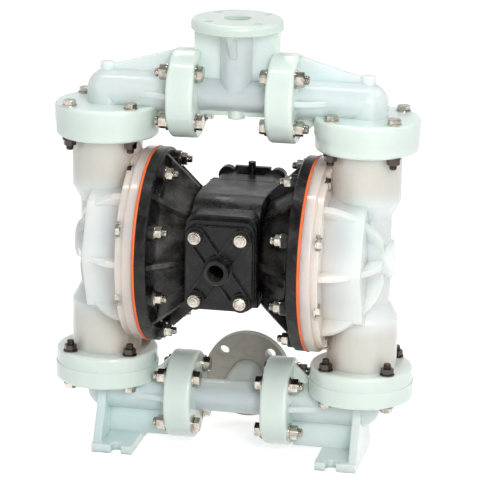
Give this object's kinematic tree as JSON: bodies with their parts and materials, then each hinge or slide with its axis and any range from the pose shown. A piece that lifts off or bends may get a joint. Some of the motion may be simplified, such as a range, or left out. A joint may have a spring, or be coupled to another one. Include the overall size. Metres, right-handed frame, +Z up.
{
  "type": "air operated diaphragm pump",
  "caption": "Plastic air operated double diaphragm pump with flanged discharge manifold on top, rear suction flange, black air section and slotted feet",
  "frame": {"origin": "On the floor, in the plane of the feet, straight below the middle of the shaft axis", "axes": "+Z up, +X to the right along the diaphragm rod seen from the air inlet side, -Y towards the air inlet, +Y towards the suction flange"},
  "size_m": [0.521, 0.279, 0.6315],
  "materials": {
    "white_plastic": "unpigmented polypropylene, milky and slightly translucent",
    "black_plastic": "black glass-filled polypropylene, satin with grey flow marks",
    "diaphragm_orange": "orange elastomer, satin",
    "stainless": "stainless steel, machined",
    "flange_grey": "grey coated steel, matte",
    "seal_rubber": "black seal rubber",
    "ball_rubber": "solid elastomer ball",
    "bearing_plastic": "natural acetal, machined",
    "aluminium_plain": "machined aluminium"
  },
  "bodies": {
    "root": {"air_inlet_bolts": "stainless", "air_inlet_cap": "black_plastic", "air_inlet_gasket": "seal_rubber", "air_valve_body": "black_plastic", "air_valve_end_cap_left": "black_plastic", "air_valve_end_cap_right": "black_plastic", "air_valve_gasket": "seal_rubber", "air_valve_screws": "stainless", "air_valve_sleeve": "aluminium_plain", "centre_housing": "black_plastic", "chamber_bolts": "stainless", "chamber_nuts": "stainless", "diaphragm_left": "diaphragm_orange", "diaphragm_right": "diaphragm_orange", "discharge_cage_left": "white_plastic", "discharge_cage_right": "white_plastic", "discharge_elbow_left": "white_plastic", "discharge_elbow_right": "white_plastic", "discharge_seat_left": "white_plastic", "discharge_seat_right": "white_plastic", "discharge_tee": "white_plastic", "flange_washers": "stainless", "housing_bolts": "stainless", "housing_gaskets": "seal_rubber", "inner_chamber_left": "black_plastic", "inner_chamber_right": "black_plastic", "manifold_bolts": "stainless", "manifold_nuts": "stainless", "manifold_orings": "seal_rubber", "outer_chamber_left": "white_plastic", "outer_chamber_right": "white_plastic", "pilot_sleeve": "aluminium_plain", "plunger_bushings": "bearing_plastic", "rod_bushing_left": "bearing_plastic", "rod_bushing_right": "bearing_plastic", "rod_seals": "seal_rubber", "suction_backing_flange": "flange_grey", "suction_cage_left": "white_plastic", "suction_cage_right": "white_plastic", "suction_elbow_left": "white_plastic", "suction_elbow_right": "white_plastic", "suction_seat_left": "white_plastic", "suction_seat_right": "white_plastic", "suction_tee": "white_plastic", "valve_flange_bolts": "stainless", "valve_flange_nuts": "stainless", "valve_orings": "seal_rubber"},
    "rod_assembly": {"diaphragm_rod": "stainless", "inner_plate_left": "aluminium_plain", "inner_plate_right": "aluminium_plain", "outer_plate_left": "white_plastic", "outer_plate_right": "white_plastic"},
    "main_spool": {"air_valve_spool": "bearing_plastic"},
    "pilot": {"pilot_spool": "bearing_plastic", "pilot_plunger_left": "stainless", "pilot_plunger_right": "stainless"},
    "discharge_ball_left_body": {"discharge_ball_left": "ball_rubber"},
    "discharge_ball_right_body": {"discharge_ball_right": "ball_rubber"},
    "suction_ball_left_body": {"suction_ball_left": "ball_rubber"},
    "suction_ball_right_body": {"suction_ball_right": "ball_rubber"}
  },
  "joints": [
    {"name": "rod_stroke", "type": "slide", "parent": "root", "child": "rod_assembly", "axis": [1, 0, 0], "range_m": [-0.02, 0.02], "deforming": ["diaphragm_right", "diaphragm_left"]},
    {"name": "main_spool_slide", "type": "slide", "parent": "root", "child": "main_spool", "axis": [1, 0, 0], "range_m": [-0.008, 0.008]},
    {"name": "pilot_slide", "type": "slide", "parent": "root", "child": "pilot", "axis": [1, 0, 0], "range_m": [-0.003, 0.003]},
    {"name": "discharge_ball_left_lift", "type": "slide", "parent": "root", "child": "discharge_ball_left_body", "axis": [0, 0, 1], "range_m": [0, 0.012]},
    {"name": "discharge_ball_right_lift", "type": "slide", "parent": "root", "child": "discharge_ball_right_body", "axis": [0, 0, 1], "range_m": [0, 0.012]},
    {"name": "suction_ball_left_lift", "type": "slide", "parent": "root", "child": "suction_ball_left_body", "axis": [0, 0, 1], "range_m": [0, 0.012]},
    {"name": "suction_ball_right_lift", "type": "slide", "parent": "root", "child": "suction_ball_right_body", "axis": [0, 0, 1], "range_m": [0, 0.012]}
  ]
}
